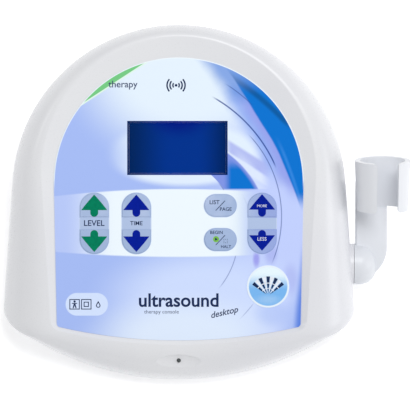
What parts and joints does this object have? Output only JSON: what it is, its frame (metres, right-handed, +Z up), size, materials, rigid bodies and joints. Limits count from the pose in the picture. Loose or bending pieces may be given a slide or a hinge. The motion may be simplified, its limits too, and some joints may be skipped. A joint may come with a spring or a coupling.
{
  "type": "ultrasound therapy device",
  "caption": "Tabletop therapeutic ultrasound console with an arched sloping key panel, graphic display, rear connectors and a side clip for its applicator.",
  "frame": {"origin": "on the table, under the middle of the whole object's box", "axes": "+X to the user's right, towards the applicator clip, +Y away from the user, +Z up"},
  "size_m": [0.3078, 0.2637, 0.1153],
  "materials": {
    "shell": "light grey-white satin moulded plastic",
    "holder": "light grey moulded plastic",
    "label": "printed polyester overlay, blue gradient",
    "key": "embossed printed key film, grey blue",
    "window": "clear acrylic window",
    "display": "dark blue display glass",
    "board": "green solder resist on glass fibre board",
    "black_plastic": "black moulded plastic",
    "rocker": "black glossy rocker",
    "steel": "zinc plated steel",
    "iron": "varnished laminated core sheet",
    "copper": "enamelled copper wire",
    "aluminium": "brushed aluminium",
    "connector": "nickel plated connector shell",
    "rubber": "black rubber",
    "light": "smoked light pipe",
    "plate": "blank foil plate"
  },
  "bodies": {
    "housing": {"upper_shell": "shell", "lower_shell": "shell", "front_label": "label", "display_window": "window", "display_bezel": "steel", "display_glass": "display", "control_board": "board", "display_board": "board", "key_switches": "black_plastic", "panel_screws": "steel", "power_light": "light", "light_board": "board", "rubber_feet": "rubber", "case_screws": "steel", "rating_plate": "plate", "main_board": "board", "main_board_screws": "steel", "heatsink": "aluminium", "power_transistors": "black_plastic", "output_coil": "copper", "capacitors": "black_plastic", "board_chips": "black_plastic", "buzzer": "black_plastic", "transformer_core": "iron", "transformer_winding": "copper", "rear_plate": "aluminium", "mains_inlet": "black_plastic", "power_switch": "black_plastic", "transducer_socket": "connector", "socket_insert": "black_plastic", "socket_nut": "steel", "plate_screws": "steel"},
    "key_select_up": {"key_select_up": "key"},
    "key_select_down": {"key_select_down": "key"},
    "key_set_up": {"key_set_up": "key"},
    "key_set_down": {"key_set_down": "key"},
    "key_step_up": {"key_step_up": "key"},
    "key_step_down": {"key_step_down": "key"},
    "key_prog_menu": {"key_prog_menu": "key"},
    "key_start_stop": {"key_start_stop": "key"},
    "power_rocker": {"power_rocker": "rocker"},
    "fuse_drawer": {"fuse_drawer": "black_plastic", "fuse": "window"},
    "holder": {"applicator_holder": "holder", "pivot_washer": "steel", "pivot_screw": "steel"}
  },
  "joints": [
    {"name": "key_select_up_press", "type": "slide", "parent": "housing", "child": "key_select_up", "axis": [0, 0.2924, -0.9563], "range_m": [0, 0.0005], "stiffness_N_per_m": 500, "springref_m": -0.001},
    {"name": "key_select_down_press", "type": "slide", "parent": "housing", "child": "key_select_down", "axis": [0, 0.2924, -0.9563], "range_m": [0, 0.0005], "stiffness_N_per_m": 500, "springref_m": -0.001},
    {"name": "key_set_up_press", "type": "slide", "parent": "housing", "child": "key_set_up", "axis": [0, 0.2924, -0.9563], "range_m": [0, 0.0005], "stiffness_N_per_m": 500, "springref_m": -0.001},
    {"name": "key_set_down_press", "type": "slide", "parent": "housing", "child": "key_set_down", "axis": [0, 0.2924, -0.9563], "range_m": [0, 0.0005], "stiffness_N_per_m": 500, "springref_m": -0.001},
    {"name": "key_step_up_press", "type": "slide", "parent": "housing", "child": "key_step_up", "axis": [0, 0.2924, -0.9563], "range_m": [0, 0.0005], "stiffness_N_per_m": 500, "springref_m": -0.001},
    {"name": "key_step_down_press", "type": "slide", "parent": "housing", "child": "key_step_down", "axis": [0, 0.2924, -0.9563], "range_m": [0, 0.0005], "stiffness_N_per_m": 500, "springref_m": -0.001},
    {"name": "key_prog_menu_press", "type": "slide", "parent": "housing", "child": "key_prog_menu", "axis": [0, 0.2924, -0.9563], "range_m": [0, 0.0005], "stiffness_N_per_m": 500, "springref_m": -0.001},
    {"name": "key_start_stop_press", "type": "slide", "parent": "housing", "child": "key_start_stop", "axis": [0, 0.2924, -0.9563], "range_m": [0, 0.0005], "stiffness_N_per_m": 500, "springref_m": -0.001},
    {"name": "power_rocker_tip", "type": "hinge", "parent": "housing", "child": "power_rocker", "pos_m": [-0.00997, 0.11623, 0.038], "axis": [1, 0, 0], "range_deg": [0, 20]},
    {"name": "fuse_drawer_slide", "type": "slide", "parent": "housing", "child": "fuse_drawer", "axis": [0, 1, 0], "range_m": [0, 0.016]},
    {"name": "holder_tilt", "type": "hinge", "parent": "housing", "child": "holder", "pos_m": [0.11188, -0.04439, 0.027], "axis": [1, 0, 0], "range_deg": [-15, 60]}
  ]
}
